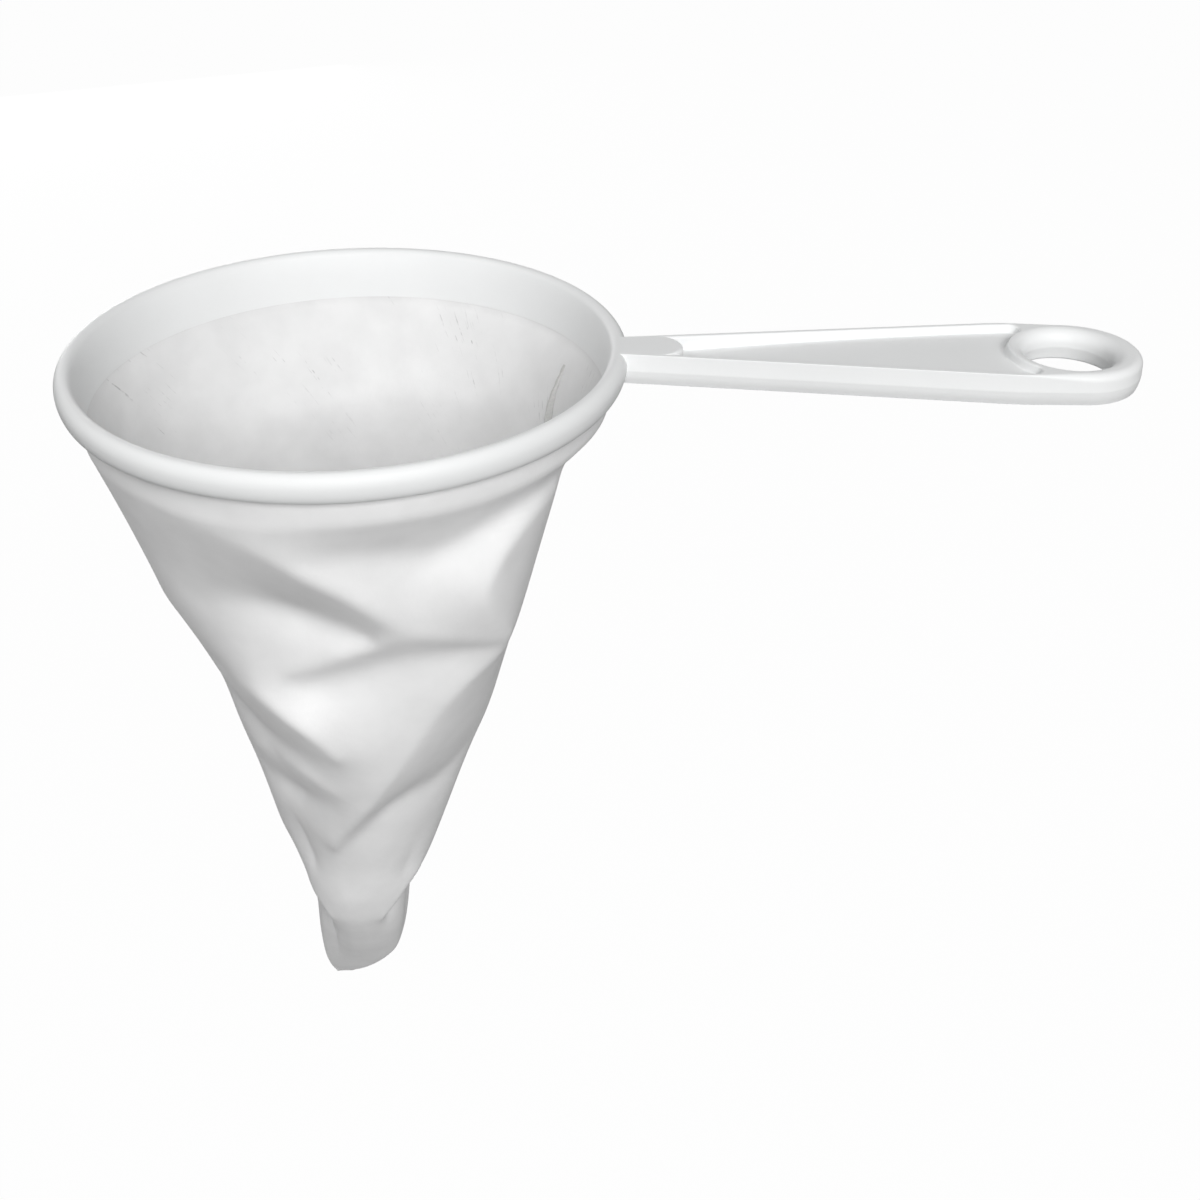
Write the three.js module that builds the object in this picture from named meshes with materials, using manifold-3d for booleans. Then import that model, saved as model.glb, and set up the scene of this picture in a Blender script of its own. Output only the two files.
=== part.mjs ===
// Cloth coffee strainer: a moulded hoop with a channel handle and a hanging eye, a push-in collar that
// clamps the mouth of a conical flannel bag against the hoop, and the bag's overlocked side seam.
// Millimetres, +Z up, +X along the handle. The origin is on the hoop's axis, level with its underside.
import * as THREE from 'three';
import { mergeVertices } from 'three/addons/utils/BufferGeometryUtils.js';
import Module from 'manifold-3d';

const wasm = await Module();
wasm.setup();

// Hoop
const HOOP_RADIUS = 53; // outside of the bead at its widest line
const HOOP_WALL = 2; // bore to the widest line
const HOOP_HEIGHT = 4;
const HOOP_SEAT = 0.6; // flat underside, across
const BEAD_SHOULDER = 1; // height of the round above the widest line

// Cloth and its clamp
const CLOTH = 0.8; // napped flannel, lightly pressed
const CLOTH_GAP = 0.3; // left on each side of the cloth
const SEAT_GAP = 0.3; // between mouldings that slide past each other

// Collar
const COLLAR_WALL = 1.2; // at the throat
const COLLAR_FOOT_WALL = 0.6; // at the skirt's foot
const LIP_HEIGHT = 1.5;
const LIP_STEP = 0.6; // how far the lip stays inside the bead
const LIP_ROLL = 1.2; // lip's outside to its crest
const LIP_ROUND = 1.1; // height of the roll outside the crest
const FLARE_DEPTH = 4; // crest down to the throat's straight wall
const SKIRT_DEPTH = 6.5; // below the hoop's underside
const SKIRT_TAPER = 1; // radius lost from the lip to the skirt's foot

// Handle
const HANDLE_LENGTH = 96.2; // hoop's outside to the tip
const ROOT_WIDTH = 7.8;
const END_WIDTH = 24.8;
const RAIL = 1.2; // side walls of the channel
const CHANNEL_DEPTH = 2.8;
const CHANNEL_CORNER = 2; // plan radius where a rail meets the eye's boss
const CHANNEL_DRAFT = 0.2;
const PARTING_HEIGHT = 2.2; // mould parting line above the underside
const FOOT_DRAFT = 0.8; // taper of the outer wall below the parting line
const FOOT_ROUND = 0.5;
const WALL_DRAFT = 0.1; // taper of the outer wall above it
const EDGE_ROUND = 0.25;

// Hanging eye
const EYE_RADIUS = 10.2; // at the top edge
const EYE_WAIST = 8.9; // at the parting line
const EYE_FOOT = 9.3; // at the underside
const EYE_BOSS_WALL = 2.2;
const EYE_END_WALL = 3.4;

// Tongue of the collar
const TONGUE_REACH = 11; // beyond the hoop's outside

// Bag
const BAG_DEPTH = 182.5; // below the hoop's underside
const BAG_WAIST = 0.3; // how far the wall hangs in from a straight cone
const BAG_LEAN = 14.2; // the tip hangs this far towards the folded side
const BAG_FLATNESS = 0.25; // share of the thickness lost on the way down the cone
const POUCH_RADIUS = 11.9; // half the width of the sewn tip
const POUCH_HEIGHT = 51;
const POUCH_FULLNESS = 2; // its outline is an ellipse
const POUCH_FLATNESS = 0.4; // share of the thickness lost towards the tip's end
const POUCH_SKEW = 0.58; // share of its narrowing that comes off the sewn side
const POUCH_BEND = 19; // how far the tip's end swings to the back

// Folds of the hanging cloth. Each is a run of points: degrees round the bag from its front towards the
// handle, depth below the hoop, and how far the fold stands out from the plain bag.
const RIDGES = [
  // from under the hoop to the middle, then on as the lower edges of the two upper bulges
  [[-20, 8, 0], [-3, 17, 0.5], [8, 24, 1], [19, 33, 1.5]],
  [[19, 33, 1.5], [31, 36, 3], [48, 42, 5]],
  [[19, 33, 1.5], [-4, 43, -2], [-17, 47, -1]],
  // left and right edge of the middle facet
  [[-45, 53, -2], [-24, 53, 1.5], [-10, 58, 4], [0, 67, 4.8]],
  [[50, 45, 4], [31, 57, 3.5], [17, 74, 4.5], [0, 93, 2.5], [-12, 104, 1]],
  // small ledge on the left, and the edge towards the handle
  [[-40, 76, -1.5], [-13, 77, 1.5], [2, 82, 3.3]],
  [[60, 12, 0.3], [45, 20, 3.8], [44, 32, 5], [48, 41, 5]],
  // both edges of the cone's front where it narrows over the tip
  [[-60, 128, 0], [-26, 138, 0.8], [-10, 145, 0]],
  [[60, 123, 0], [28, 136, 0.8], [12, 144, 0]],
  // back
  [[130, 40, 3], [170, 46, 4], [215, 44, 3]],
  [[110, 62, 2], [150, 78, 3], [190, 92, 2]],
];
const HOLLOWS = [
  // below each ridge
  [[-45, 34, -1], [-25, 30, -5], [-8, 32, -6.5], [11, 36, -2.8]],
  [[23, 41, -1], [44, 43, 3.5]],
  [[22, 42, -1.5], [7, 46, -3.5], [-8, 50, -3.5]],
  [[-55, 68, -2], [-34, 70, -2.5], [-10, 71, 1.3], [-3, 72, 3]],
  [[86, 70, -1.5], [64, 86, -2.5], [32, 88, -3.5], [10, 95, -1.5], [-16, 109, 0]],
  [[-45, 89, -2.5], [-20, 88, -1.5], [-4, 86, 1.8]],
  [[-70, 138, -0.5], [-52, 139, -3], [-34, 143, -2]],
  [[66, 134, -0.5], [52, 136, -3], [36, 141, -2]],
  // handle's side and folded side
  [[95, 14, -6], [82, 36, -5], [80, 56, -4.5]],
  [[-85, 30, 1.5], [-80, 51, -1.5], [-85, 80, 0.5], [-80, 112, 1]],
  // back
  [[120, 54, -2], [165, 60, -3], [205, 70, -1]],
];
const FOLD_START = 4; // the folds grow over this height below the skirt

// Overlocked seam
const SEAM_WIDTH = 4;
const SEAM_THICKNESS = 1.6;
const SEAM_TURN = 90; // degrees from the front towards the handle

// Facets
const RING_FACETS = 96;
const BAG_FACETS = 56; // a multiple of 4, so that one column of corners runs along the seam
const ARC_FACETS = 5;
const CAP_FACETS = 24;
const CONE_STEPS = 27;
const POUCH_STEPS = 7;
const FOLD_STEPS = 60; // points drawn along one fold
const MEMBRANE_COLUMNS = 72;
const MEMBRANE_ROWS = 45;
const MEMBRANE_ROUNDS = 300;
const OVERCUT = 1; // how far a cut runs past the face it opens
const FULL_TURN = 360; // degrees

// Places that follow from the sizes
const hoopBore = HOOP_RADIUS - HOOP_WALL;
const rimTop = HOOP_HEIGHT + LIP_HEIGHT;
const clampSpan = CLOTH + 2 * CLOTH_GAP;
const lipOuter = HOOP_RADIUS - LIP_STEP;
const lipCrest = lipOuter - LIP_ROLL;
const handleEnd = HOOP_RADIUS + HANDLE_LENGTH;
const handleFoot = 0; // level with the hoop's underside
const channelFloor = rimTop - CHANNEL_DEPTH;
const eyeX = handleEnd - EYE_END_WALL - EYE_RADIUS;
const bossRadius = EYE_RADIUS + EYE_BOSS_WALL;
const rootX = hoopBore + HOOP_SEAT / 2;
const cornerY = END_WIDTH / 2 - RAIL - CHANNEL_CORNER;
const cornerX = eyeX - Math.sqrt((bossRadius + CHANNEL_CORNER) ** 2 - cornerY ** 2);

// Half-width of the handle at a distance from the hoop's axis: a straight taper up to the eye's shoulder
function handleHalfWidth(x) {
  const along = (x - HOOP_RADIUS) / (cornerX - HOOP_RADIUS);
  return (ROOT_WIDTH + (END_WIDTH - ROOT_WIDTH) * Math.min(along, 1)) / 2;
}

// Outer radius of the collar's wall, tapering from the lip's underside to the skirt's foot
function collarOuter(z) {
  const along = (HOOP_HEIGHT - z) / (HOOP_HEIGHT + SKIRT_DEPTH);
  return hoopBore - clampSpan - SKIRT_TAPER * along;
}

// Solids

// A closed geometry as a solid: shared corners are merged and collapsed triangles at a pole are dropped
function solid(geometry) {
  const bare = geometry.clone();
  bare.deleteAttribute('normal');
  bare.deleteAttribute('uv');
  const merged = mergeVertices(bare);
  const corners = merged.index.array;
  const kept = [];
  for (let i = 0; i < corners.length; i += 3) {
    const [a, b, c] = corners.slice(i, i + 3);
    if (a !== b && b !== c && c !== a) kept.push(a, b, c);
  }
  const vertProperties = Float32Array.from(merged.attributes.position.array);
  return new wasm.Manifold(new wasm.Mesh({ numProp: 3, vertProperties, triVerts: Uint32Array.from(kept) }));
}

function geometryOf(body) {
  const mesh = body.getMesh();
  const geometry = new THREE.BufferGeometry();
  geometry.setAttribute('position', new THREE.BufferAttribute(mesh.vertProperties, 3));
  geometry.setIndex(new THREE.BufferAttribute(mesh.triVerts, 1));
  geometry.computeVertexNormals();
  return geometry;
}

// A profile of (radius, height) points turned about +Z; the points run upwards on the outside
function turned(profile, facets) {
  return new THREE.LatheGeometry(profile, facets).rotateX(Math.PI / 2);
}

// A plan outline carried upwards through levels of [height, value]; outlineAt turns each value, such as an
// inset, into the outline there
function drafted(outlineAt, levels) {
  const rings = levels.map(([, value]) => outlineAt(value));
  const count = rings[0].length;
  const positions = rings.flatMap((ring, k) => ring.flatMap((p) => [p.x, p.y, levels[k][0]]));
  const top = (rings.length - 1) * count;
  const index = [];
  for (const [a, b, c] of THREE.ShapeUtils.triangulateShape(rings[0], [])) index.push(a, c, b);
  for (const [a, b, c] of THREE.ShapeUtils.triangulateShape(rings.at(-1), [])) {
    index.push(top + a, top + b, top + c);
  }
  for (let start = 0; start < top; start += count) {
    for (let i = 0; i < count; i++) {
      const j = (i + 1) % count;
      index.push(start + i, start + j, start + count + j);
      index.push(start + i, start + count + j, start + count + i);
    }
  }
  const geometry = new THREE.BufferGeometry();
  geometry.setAttribute('position', new THREE.Float32BufferAttribute(positions, 3));
  geometry.setIndex(index);
  return geometry;
}

// Points along an arc between two angles in degrees, both ends included
function arc(x, y, radius, fromDegrees, toDegrees, facets = ARC_FACETS, radiusY = radius) {
  const start = THREE.MathUtils.degToRad(fromDegrees);
  const end = THREE.MathUtils.degToRad(toDegrees);
  return new THREE.EllipseCurve(x, y, radius, radiusY, start, end, end < start).getPoints(facets);
}

function closed(points) {
  return [...points, points[0].clone()];
}

// Hoop and handle

// Bead with a flat bore and seat: a long round below its widest line, a short shoulder above it
function hoopRing() {
  const seatEdge = hoopBore + HOOP_SEAT;
  const widest = HOOP_HEIGHT - BEAD_SHOULDER;
  return turned(closed([
    new THREE.Vector2(hoopBore, 0),
    ...arc(seatEdge, widest, HOOP_RADIUS - seatEdge, -90, 0, ARC_FACETS, widest),
    ...arc(lipOuter, widest, HOOP_RADIUS - lipOuter, 0, 90, ARC_FACETS, BEAD_SHOULDER).slice(1),
    new THREE.Vector2(hoopBore, HOOP_HEIGHT),
  ]), RING_FACETS);
}

// Plan of the handle: taper from the hoop, parallel past the eye's shoulder, round end
function handleOutline(inset) {
  const half = END_WIDTH / 2 - inset;
  const root = handleHalfWidth(rootX) - inset;
  return [
    new THREE.Vector2(rootX, -root),
    new THREE.Vector2(cornerX, -half),
    ...arc(handleEnd - END_WIDTH / 2, 0, half, -90, 90, CAP_FACETS),
    new THREE.Vector2(cornerX, half),
    new THREE.Vector2(rootX, root),
  ];
}

// Plan of the channel: along both rails, rounded into the eye's boss, square at the hoop
function channelOutline(inset) {
  const start = HOOP_RADIUS + SEAT_GAP;
  const half = handleHalfWidth(start) - RAIL - inset;
  const round = CHANNEL_CORNER - inset;
  const meeting = THREE.MathUtils.radToDeg(Math.atan2(cornerY, eyeX - cornerX));
  return [
    new THREE.Vector2(start, -half),
    ...arc(cornerX, -cornerY, round, -90, meeting),
    ...arc(eyeX, 0, bossRadius + inset, 180 + meeting, 180 - meeting, CAP_FACETS / 2).slice(1, -1),
    ...arc(cornerX, cornerY, round, -meeting, 90),
    new THREE.Vector2(start, half),
  ];
}

// The way over the bead that lets the collar's tongue into the channel
function tongueGate() {
  const half = handleHalfWidth(HOOP_RADIUS) - RAIL;
  const length = 2 * HOOP_WALL;
  const gate = new THREE.BoxGeometry(length, 2 * half, LIP_HEIGHT + OVERCUT);
  return gate.translate(HOOP_RADIUS + SEAT_GAP + OVERCUT - length / 2, 0, rimTop + (OVERCUT - LIP_HEIGHT) / 2);
}

// Hole of the hanging eye: drafted from both faces to a waist on the parting line
function eyeHole() {
  const waist = handleFoot + PARTING_HEIGHT;
  return turned([
    new THREE.Vector2(0, handleFoot - OVERCUT),
    new THREE.Vector2(EYE_FOOT, handleFoot - OVERCUT),
    new THREE.Vector2(EYE_FOOT, handleFoot),
    new THREE.Vector2(EYE_WAIST, waist),
    new THREE.Vector2(EYE_RADIUS, rimTop),
    new THREE.Vector2(EYE_RADIUS, rimTop + OVERCUT),
    new THREE.Vector2(0, rimTop + OVERCUT),
  ], CAP_FACETS * 2).translate(eyeX, 0, 0);
}

function hoopHandle() {
  const handle = drafted(handleOutline, [
    [handleFoot, FOOT_DRAFT + FOOT_ROUND],
    [handleFoot + FOOT_ROUND, FOOT_DRAFT],
    [handleFoot + PARTING_HEIGHT, 0],
    [rimTop - EDGE_ROUND, WALL_DRAFT],
    [rimTop, WALL_DRAFT + EDGE_ROUND],
  ]);
  const channel = drafted(channelOutline, [
    [channelFloor, CHANNEL_DRAFT],
    [rimTop, 0],
    [rimTop + OVERCUT, 0],
  ]);
  const lipRoom = turned([
    new THREE.Vector2(0, HOOP_HEIGHT),
    new THREE.Vector2(lipOuter + SEAT_GAP, HOOP_HEIGHT),
    new THREE.Vector2(lipOuter + SEAT_GAP, rimTop + OVERCUT),
    new THREE.Vector2(0, rimTop + OVERCUT),
  ], RING_FACETS);
  return solid(handle)
    .subtract(solid(lipRoom))
    .add(solid(hoopRing()))
    .subtract(solid(channel))
    .subtract(solid(tongueGate()))
    .subtract(solid(eyeHole()));
}

// Collar

// Tapered skirt under a rolled lip, its inside flared in one sweep from the throat to the lip's crest
function collarRing() {
  const foot = collarOuter(-SKIRT_DEPTH);
  const throat = collarOuter(HOOP_HEIGHT);
  const flareFoot = rimTop - FLARE_DEPTH;
  const flareRun = lipCrest - throat + COLLAR_WALL;
  return turned(closed([
    new THREE.Vector2(foot - COLLAR_FOOT_WALL, -SKIRT_DEPTH),
    new THREE.Vector2(foot, -SKIRT_DEPTH),
    new THREE.Vector2(throat, HOOP_HEIGHT),
    new THREE.Vector2(lipOuter, HOOP_HEIGHT),
    ...arc(lipCrest, rimTop - LIP_ROUND, LIP_ROLL, 0, 90, ARC_FACETS, LIP_ROUND),
    ...arc(lipCrest, flareFoot, flareRun, 90, 180, ARC_FACETS, FLARE_DEPTH).slice(1),
  ]), RING_FACETS);
}

// Plan of the tongue from a start on the handle's centre line: sides along the rails, round end
function tongueOutline(start) {
  const tip = HOOP_RADIUS + TONGUE_REACH;
  const half = (x) => handleHalfWidth(x) - RAIL - SEAT_GAP;
  const round = half(tip - half(HOOP_RADIUS));
  return [
    new THREE.Vector2(start, -half(start)),
    ...arc(tip - round, 0, round, -90, 90, CAP_FACETS / 2),
    new THREE.Vector2(start, half(start)),
  ];
}

// The tongue: a plate over the bead, and a key below it that fills the channel down to its floor
function tongue() {
  const plate = drafted(() => tongueOutline(lipCrest), [[HOOP_HEIGHT, 0], [rimTop, 0]]);
  const key = drafted(() => tongueOutline(HOOP_RADIUS + 2 * SEAT_GAP), [
    [channelFloor + SEAT_GAP, 0],
    [HOOP_HEIGHT + LIP_HEIGHT / 2, 0],
  ]);
  return solid(plate).add(solid(key));
}

function clampCollar() {
  return solid(collarRing()).add(tongue());
}

// Bag

// Width left at a share of the way down the tip's pouch
function pouchWidth(share) {
  return Math.sqrt(1 - share ** POUCH_FULLNESS);
}

// Wall of the plain bag from the tip's pole up to the mouth edge, drawn in by inset: the tip's rounded pouch,
// a hanging cone with its waist, and the band that lies on the collar's skirt
function bagWall(inset) {
  const neck = new THREE.Vector2(POUCH_RADIUS, POUCH_HEIGHT - BAG_DEPTH);
  const skirtFoot = new THREE.Vector2(collarOuter(-SKIRT_DEPTH) + CLOTH_GAP + CLOTH, -SKIRT_DEPTH);
  const pull = neck.clone().add(skirtFoot).multiplyScalar(0.5);
  pull.x -= 2 * BAG_WAIST;
  const cone = new THREE.QuadraticBezierCurve(neck, pull, skirtFoot).getPoints(CONE_STEPS);
  const mouth = HOOP_HEIGHT - CLOTH_GAP;
  const band = new THREE.Vector2(collarOuter(mouth) + CLOTH_GAP + CLOTH, mouth);
  const pouch = [];
  for (let step = 0; step < POUCH_STEPS; step++) {
    const share = Math.sin((Math.PI / 2) * (1 - step / POUCH_STEPS));
    const radius = (POUCH_RADIUS - inset) * pouchWidth(share);
    pouch.push(new THREE.Vector2(radius, neck.y - share * (POUCH_HEIGHT - inset)));
  }
  return [...pouch, ...[...cone, band].map((p) => new THREE.Vector2(p.x - inset, p.y))];
}

// Stand-off of the folded cloth on a grid of turn by depth. The cloth is a membrane stretched between the
// folds: each free cell comes to rest at the mean of its four neighbours.
function stretchedMembrane() {
  const height = new Float64Array(MEMBRANE_COLUMNS * MEMBRANE_ROWS);
  const held = new Set();
  const cell = (column, row) => row * MEMBRANE_COLUMNS + ((column + MEMBRANE_COLUMNS) % MEMBRANE_COLUMNS);
  for (const fold of [...HOLLOWS, ...RIDGES]) {
    const line = new THREE.CatmullRomCurve3(fold.map((p) => new THREE.Vector3(...p)));
    for (const p of line.getPoints(FOLD_STEPS)) {
      const column = Math.round((p.x / FULL_TURN) * MEMBRANE_COLUMNS);
      const row = Math.round((p.y / BAG_DEPTH) * (MEMBRANE_ROWS - 1));
      height[cell(column, row)] = p.z;
      held.add(cell(column, row));
    }
  }
  for (let round = 0; round < MEMBRANE_ROUNDS; round++) {
    for (let row = 1; row < MEMBRANE_ROWS - 1; row++) {
      for (let column = 0; column < MEMBRANE_COLUMNS; column++) {
        if (held.has(cell(column, row))) continue;
        const beside = height[cell(column - 1, row)] + height[cell(column + 1, row)];
        const above = height[cell(column, row - 1)] + height[cell(column, row + 1)];
        height[cell(column, row)] = (beside + above) / 4;
      }
    }
  }
  return (column, row) => height[cell(column, row)];
}

const membrane = stretchedMembrane();

// How far the cloth stands out from the plain bag at a turn from the front and a height
function standOff(degrees, z) {
  const column = (((degrees + FULL_TURN) % FULL_TURN) / FULL_TURN) * MEMBRANE_COLUMNS;
  const row = THREE.MathUtils.clamp(-z / BAG_DEPTH, 0, 1) * (MEMBRANE_ROWS - 1);
  const left = Math.floor(column);
  const top = Math.min(Math.floor(row), MEMBRANE_ROWS - 2);
  const { lerp } = THREE.MathUtils;
  const upper = lerp(membrane(left, top), membrane(left + 1, top), column - left);
  const lower = lerp(membrane(left, top + 1), membrane(left + 1, top + 1), column - left);
  return lerp(upper, lower, row - top) * THREE.MathUtils.smoothstep(-z, SKIRT_DEPTH, SKIRT_DEPTH + FOLD_START);
}

// How far down the hanging part a height lies, from 0 at the skirt's foot to 1 at the tip
function hang(z) {
  return THREE.MathUtils.clamp((-SKIRT_DEPTH - z) / (BAG_DEPTH - SKIRT_DEPTH), 0, 1);
}

// How far down the tip's pouch a height lies, from 0 at its neck to 1 at its end
function pouchShare(z) {
  return THREE.MathUtils.clamp((POUCH_HEIGHT - BAG_DEPTH - z) / POUCH_HEIGHT, 0, 1);
}

// The bag swings towards the folded side, a little at first and more towards the end, and the pouch's end lies
// on that side too
function lean(z) {
  const t = hang(z);
  const narrowing = POUCH_RADIUS * (1 - pouchWidth(pouchShare(z)));
  return -BAG_LEAN * (t + 3 * t * t) / 4 - POUCH_SKEW * narrowing;
}

// The round mouth becomes the flat-sewn tip
function flatness(z) {
  return 1 - BAG_FLATNESS * hang(z) ** 3 - POUCH_FLATNESS * pouchShare(z);
}

// The folds stand out along the plain bag's radius, and the tip then leans, flattens and swings to the back
function filterBag() {
  const geometry = turned([...bagWall(0), ...bagWall(CLOTH).reverse()], BAG_FACETS);
  const position = geometry.attributes.position;
  for (let i = 0; i < position.count; i++) {
    const point = new THREE.Vector3().fromBufferAttribute(position, i);
    const plain = Math.hypot(point.x, point.y);
    const turn = Math.atan2(point.x, -point.y);
    const radius = plain > 0 ? plain + standOff(THREE.MathUtils.radToDeg(turn), point.z) : 0;
    const swing = POUCH_BEND * pouchShare(point.z);
    const x = lean(point.z) + radius * Math.sin(turn);
    position.setXY(i, x, swing - radius * Math.cos(turn) * flatness(point.z));
  }
  return solid(geometry);
}

// The bound seam allowance stands inward from the wall on the handle's side, from the first row of corners
// below the skirt down to the tip's neck
function seamOverlock() {
  const section = (p) => {
    const outer = p.x + standOff(SEAM_TURN, p.y) + lean(p.y);
    const half = SEAM_THICKNESS / 2;
    return [
      new THREE.Vector2(outer - SEAM_WIDTH, -half),
      new THREE.Vector2(outer, -half),
      new THREE.Vector2(outer, half),
      new THREE.Vector2(outer - SEAM_WIDTH, half),
    ];
  };
  const line = bagWall(CLOTH + CLOTH_GAP).slice(POUCH_STEPS, -2);
  return solid(drafted(section, line.map((p) => [p.y, p])));
}

// Materials and assembly

const polypropylene = { color: 0xf2f2ef, roughness: 0.38, metalness: 0 };
const flannel = { color: 0xecebe6, roughness: 0.95, metalness: 0 };
const thread = { color: 0xe6e4dd, roughness: 0.85, metalness: 0 };

function piece(name, body, finish) {
  const mesh = new THREE.Mesh(geometryOf(body), new THREE.MeshStandardMaterial(finish));
  mesh.name = name;
  return mesh;
}

const strainer = new THREE.Group();
strainer.add(
  piece('hoop_handle', hoopHandle(), polypropylene),
  piece('clamp_collar', clampCollar(), polypropylene),
  piece('filter_bag', filterBag(), flannel),
  piece('seam_overlock', seamOverlock(), thread),
);

export default strainer;
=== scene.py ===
import math

import bmesh
import bpy
import numpy as np
from mathutils import Matrix, Vector
from mathutils.geometry import tessellate_polygon


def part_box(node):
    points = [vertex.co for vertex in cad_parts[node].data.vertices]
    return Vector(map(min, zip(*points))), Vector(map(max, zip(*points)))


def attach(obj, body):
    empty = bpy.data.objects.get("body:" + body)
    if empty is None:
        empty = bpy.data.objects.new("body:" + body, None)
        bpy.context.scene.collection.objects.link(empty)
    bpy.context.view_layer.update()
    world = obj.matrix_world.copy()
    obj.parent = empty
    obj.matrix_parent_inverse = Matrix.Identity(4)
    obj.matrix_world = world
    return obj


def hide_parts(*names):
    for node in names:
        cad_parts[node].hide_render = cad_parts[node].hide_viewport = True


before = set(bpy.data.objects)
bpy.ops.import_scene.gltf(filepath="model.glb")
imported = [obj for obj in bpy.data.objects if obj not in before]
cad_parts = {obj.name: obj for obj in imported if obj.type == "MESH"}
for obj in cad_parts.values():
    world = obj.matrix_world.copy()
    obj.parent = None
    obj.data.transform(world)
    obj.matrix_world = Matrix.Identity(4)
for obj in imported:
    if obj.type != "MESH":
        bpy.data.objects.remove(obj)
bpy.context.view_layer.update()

MM = 0.001


def box_in_mm(node):
    """Lowest and highest corner of a CAD node, in millimetres."""
    low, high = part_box(node)
    return np.array(low) / MM, np.array(high) / MM


# Places taken from the frame
hoop_low, hoop_high = box_in_mm("hoop_handle")
collar_low, collar_high = box_in_mm("clamp_collar")
bag_low, bag_high = box_in_mm("filter_bag")
HOOP_RADIUS = hoop_high[1]
HANDLE_FOOT = hoop_low[2]
RIM_TOP = hoop_high[2]
HANDLE_END = hoop_high[0]
SKIRT_FOOT = collar_low[2]
TONGUE_TIP = collar_high[0]
BAG_DEPTH = -bag_low[2]
BAG_MOUTH = bag_high[2]

# Hoop
HOOP_BORE = 51.0
HOOP_HEIGHT = 4.0
HOOP_SEAT = 0.6  # flat underside, across
BEAD_SHOULDER = 1.0  # height of the round above the widest line

# Collar
LIP_ROLL = 1.8  # bead's widest line to the lip's crest: bead and lip share one round
LIP_INNER_ROUND = 1.6
FLARE_TOP = 0.33  # how far the inside leans out for each millimetre up, under the lip
FLARE_FOOT = 0.01  # and at the foot
COLLAR_THROAT = 49.7  # outside of the wall under the lip
COLLAR_TAPER = 1.0
SKIRT_TRIM = 2.0  # how much sooner the skirt ends in the photo than in the solid

# Handle
RAIL_START = 51.4  # inside the bead
ROOT_HALF_WIDTH = 4.3
END_HALF_WIDTH = 12.4
RAIL = 1.2
RAIL_OUTER_ROUND = 0.18
RAIL_INNER_ROUND = 0.45
TAPER_END = 124.5
TAPER_SOFTNESS = 0.25  # of the bend into the parallel end
CAP_ROUND = 1.6  # outer top edge round the eye
CAP_ROUND_START = 122.0  # the rails' edge begins to grow into it
CAP_ROUND_FULL = 140.0
CHANNEL_DEPTH = 2.7  # at the tongue's end
CHANNEL_END_DEPTH = 1.6  # at the eye
CHANNEL_RISE_START = 65.0
CHANNEL_RISE_END = 115.0
CHANNEL_CORNER = 1.8
CHANNEL_DRAFT = 0.2
FLOOR_FILLET = 0.35
PARTING = 2.2  # height of the mould's parting line
PARTING_WITNESS = 0.02  # how far its witness line stands proud
WITNESS_REACH = 0.15  # above and below the parting line
WALL_START = 0.02  # inset of the wall just above the witness line
WALL_DRAFT = 0.1  # and at its top
FOOT_DRAFT = 0.45
FOOT_SWEEP = (0.8, 0.6, 0.4, 0.2, 0)  # shares of the lower wall's height at which its sweep is drawn
FOOT_DROP = 0.5  # how far the rails reach below the hoop's seat
FOOT_ROUND = 0.15
FLAT_STRIP = 0.03  # flat beside a rounded edge, so that it shades cleanly into its face

# Hanging eye
EYE_X = 135.6
EYE_WAIST = 8.3
EYE_FOOT = 8.8
BOSS_RADIUS = 11.3
EYE_ROLL = 2.4  # top edge, across
EYE_ROLL_HEIGHT = 2.6
EYE_FOOT_ROUND = 0.5
WAIST_LEVELS = [(-0.08, -0.25), (0, 0), (-0.03, 0.2)]  # inset from the waist, height from the parting line

# Tongue
TONGUE_PLAY = 0.04  # beside the rails
TONGUE_EDGE = 0.05  # round of the top edge along its sides
TONGUE_ROUND = 0.7  # and at its free end
TONGUE_TRIM = 0.7  # how much shorter its end is than in the solid
TONGUE_STEP = 0.1  # upright foot of its edge
KEY_START = 0.3  # beyond the hoop
KEY_CLEARANCE = 0.1  # over the channel's floor
KEY_LAP = 0.4  # how far the key reaches up into the plate

# Bag
CLOTH = 0.8
SKIRT_RADIUS = 49.43  # outside of the cloth at the skirt's foot
BAND_TAPER = 0.97
BAG_WAIST = 0.3
POUCH_RADIUS = 11.9  # half the width of the sewn tip
POUCH_HEIGHT = 51.0
POUCH_FULLNESS = 2.15  # 2 would make its outline an ellipse
POUCH_FLATNESS = 0.6  # thickness lost towards the tip's end
POUCH_FOLD = 51.0  # height of the tip's end that is folded to the back
POUCH_BEND = 19.0  # how far it swings there
POUCH_BEND_POWER = 1.3  # of the depth, which the swing follows
POUCH_SKEW = 0.58  # share of its narrowing that comes off the sewn side
BAG_FLATNESS = 0.25  # thickness lost on the way down the cone
BAG_LEAN = 14.2  # of the tip, away from the handle
CLOTH_FREE = 4.7  # depth at which the cloth leaves the collar's skirt
CLOTH_EASE = 2.5  # depth over which its folds set in there
TIP_CLOSURE = 0.02  # how far above the very tip the cloth is closed by a flat face

# Overlocked seam
SEAM_TOP = 9.0
SEAM_TOP_TURN = 120.0  # degrees from the front, past the handle
SEAM_FOOT_TURN = 90.0
SEAM_TURNED = 60.0  # depth by which the seam has come round to the handle
SEAM_WIDTH = 1.6
SEAM_RUN_IN = (-2.0, 10.0)  # from its top, where its width begins to grow and where it is full
SEAM_THICKNESS = 0.9
STITCH = 2.4
LOOP_SWELL = 0.3  # share by which the thread's loops thicken it
LOOP_SLANT = 2.0  # how far a loop leads at the free edge and lags at the root, in radians

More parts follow.
